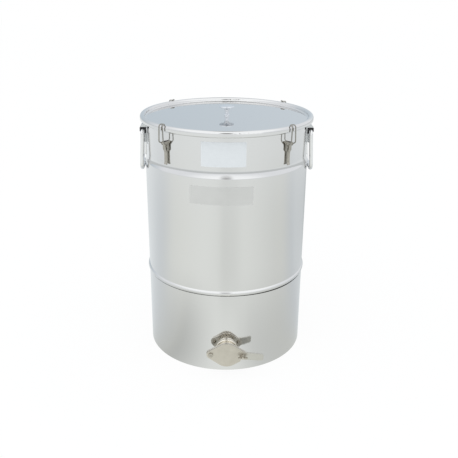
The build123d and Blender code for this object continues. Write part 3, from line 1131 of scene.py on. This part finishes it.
@dataclass(frozen=True)
class Flag:
    """A dark card with soft edges, seen only as a reflection, which draws the rims.

    Attributes:
        name: Object name.
        size: Width and height.
        place: Its middle.
        tilt_deg: How far it is turned up from lying flat.
        depth: How dense it is at its middle, from 0 to 1.
    """

    name: str
    size: Span
    place: Point
    tilt_deg: float
    depth: float

    def build(self) -> None:
        """Hang the card."""
        material, tree, surface = new_material(self.name)
        place = add_node(tree, "ShaderNodeTexCoord").outputs["Object"]
        shares = (2 * FLAG_EDGE / self.size[0], 2 * FLAG_EDGE / self.size[1], 0.0)
        inside = add_node(tree, "ShaderNodeMapping", {"Scale": shares}, {"Vector": place})
        reach = add_node(
            tree,
            "ShaderNodeVectorMath",
            links={0: inside.outputs["Vector"]},
            operation="LENGTH",
        )
        cover = add_node(
            tree,
            "ShaderNodeMapRange",
            {"From Min": FLAG_GONE, "From Max": FLAG_FULL, "To Max": self.depth},
            {"Value": reach.outputs["Value"]},
            interpolation_type="SMOOTHSTEP",
        )
        clear = add_node(tree, "ShaderNodeBsdfTransparent")
        dark = add_node(
            tree, "ShaderNodeEmission", {"Color": linear(FLAG_COLOUR), "Strength": 1.0}
        )
        both = add_node(
            tree,
            "ShaderNodeMixShader",
            links={
                0: cover.outputs["Result"],
                1: clear.outputs["BSDF"],
                2: dark.outputs["Emission"],
            },
        )
        tree.links.new(both.outputs["Shader"], surface)
        card = stage_plane(self.name, self.size, material)
        card.location = self.place
        card.rotation_euler = (math.radians(self.tilt_deg), 0.0, 0.0)
        card.visible_camera = card.visible_diffuse = False
        card.visible_shadow = card.visible_transmission = False


FLAGS = (
    Flag("tall_flag", (0.8, 1.5), (-0.03, -1.80, 1.15), tilt_deg=90.0, depth=0.35),
    Flag("high_flag", (0.9, 1.5), (-0.03, -1.93, 1.60), tilt_deg=60.0, depth=0.9),
    Flag("back_flag", (1.2, 4.2), (0.03, 1.5, 3.4), tilt_deg=90.0, depth=0.8),
)


@dataclass
class Room:
    """The pale room: bluish walls, dimmer behind, a brighter ceiling, white to the camera.

    A way is a direction, and its span gives the dot products with it at which the change of
    level begins and is complete.

    Attributes:
        walls: Light level of the walls.
        back: Light level behind the tank.
        back_way: Where that is.
        back_span: How softly it comes in.
        ceiling: Light level of the ceiling.
        ceiling_way: Where that is.
        ceiling_span: How softly it comes in.
        scattered: Share of these levels that lights matt surfaces.
    """

    walls: Colour = (0.98, 1.0, 1.03, 1.0)
    back: Colour = (0.619, 0.698, 0.763, 1.0)
    back_way: Point = (-0.35, 1.0, -0.3)
    back_span: Span = (0.45, 0.97)
    ceiling: Colour = (1.24, 1.26, 1.27, 1.0)
    ceiling_way: Point = (0.0, -0.6, 1.0)
    ceiling_span: Span = (0.45, 0.9)
    scattered: float = 0.88

    def build(self) -> None:
        """Surround the tank with the room."""
        world = bpy.data.worlds.new("pale_room")
        bpy.context.scene.world = world
        world.use_nodes = True
        tree = world.node_tree
        tree.nodes.clear()
        output = add_node(tree, "ShaderNodeOutputWorld")
        way = add_node(tree, "ShaderNodeTexCoord").outputs["Generated"]
        above = add_node(
            tree, "ShaderNodeVectorMath", {1: self.ceiling_way}, {0: way}, operation="DOT_PRODUCT"
        )
        rise = add_node(
            tree,
            "ShaderNodeMapRange",
            {"From Min": self.ceiling_span[0], "From Max": self.ceiling_span[1]},
            {"Value": above.outputs["Value"]},
            interpolation_type="SMOOTHSTEP",
        )
        behind = add_node(
            tree, "ShaderNodeVectorMath", {1: self.back_way}, {0: way}, operation="DOT_PRODUCT"
        )
        dim = add_node(
            tree,
            "ShaderNodeMapRange",
            {"From Min": self.back_span[0], "From Max": self.back_span[1]},
            {"Value": behind.outputs["Value"]},
        )
        around = add_node(
            tree,
            "ShaderNodeMix",
            {"A": self.walls, "B": self.back},
            {"Factor": dim.outputs["Result"]},
            data_type="RGBA",
        )
        room = add_node(
            tree,
            "ShaderNodeMix",
            {"B": self.ceiling},
            {"Factor": rise.outputs["Result"], "A": around.outputs["Result"]},
            data_type="RGBA",
        )
        path = add_node(tree, "ShaderNodeLightPath")
        strength = add_node(
            tree,
            "ShaderNodeMapRange",
            {"To Min": self.scattered},
            {"Value": path.outputs["Is Glossy Ray"]},
        )
        mirrored = add_node(
            tree,
            "ShaderNodeBackground",
            links={"Color": room.outputs["Result"], "Strength": strength.outputs["Result"]},
        )
        white = add_node(
            tree, "ShaderNodeBackground", {"Color": linear("ffffff"), "Strength": 1.0}
        )
        both = add_node(
            tree,
            "ShaderNodeMixShader",
            links={
                0: straight_rays(tree),
                1: mirrored.outputs["Background"],
                2: white.outputs["Background"],
            },
        )
        tree.links.new(both.outputs["Shader"], output.inputs["Surface"])


@dataclass
class Softbox:
    """One large soft lamp above and in front, for the labels and the shadow.

    Attributes:
        size: Width and height.
        watts: Its power.
        place: Its middle.
        aim: The point it faces.
    """

    size: Span = (2.4, 1.6)
    watts: float = 6.0
    place: Point = (-0.9, -1.2, 2.6)
    aim: Point = (0.0, 0.0, 0.3)

    def build(self) -> None:
        """Hang the lamp."""
        lamp = bpy.data.lights.new("softbox", "AREA")
        lamp.shape = "RECTANGLE"
        lamp.size, lamp.size_y = self.size
        lamp.energy = self.watts
        box = bpy.data.objects.new("softbox", lamp)
        box.location = self.place
        facing = Vector(self.aim) - box.location
        box.rotation_euler = facing.to_track_quat("-Z", "Y").to_euler()
        box.visible_glossy = False
        bpy.context.scene.collection.objects.link(box)


def build_studio() -> None:
    """Set up the camera, the floor, the flags, the room and the lamp."""
    for thing in (Camera(), Floor(), *FLAGS, Room(), Softbox()):
        thing.build()
        LOG.info("studio: %s", type(thing).__name__)
    bpy.context.scene.view_settings.view_transform = "Standard"


def main() -> None:
    """Dress the tank, add its labels, weld and the line of painted shade under the bead, and set
    up the studio.
    """
    logging.basicConfig(level=logging.INFO, format="%(message)s")
    wardrobe = Wardrobe()
    wardrobe.dress_frame(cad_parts)
    neck_label = CurvedLabel(
        "neck_label", PAPER_FINISH, NECK_RADIUS, start_deg=-17.6, end_deg=11.8,
        bottom=521 * MM, top=577 * MM,
    )
    body_film = CurvedLabel(
        "body_film", FILM_FINISH, WALL_RADIUS, start_deg=-25.4, end_deg=16.8,
        bottom=433.5 * MM, top=476 * MM,
    )
    # The last piece is a nearly black line of painted shade in the crease under the bead
    for piece in (neck_label, body_film, WeldRing(), CreaseShadeLine()):
        piece.build(wardrobe)
    build_studio()


if __name__ == "__main__":
    main()
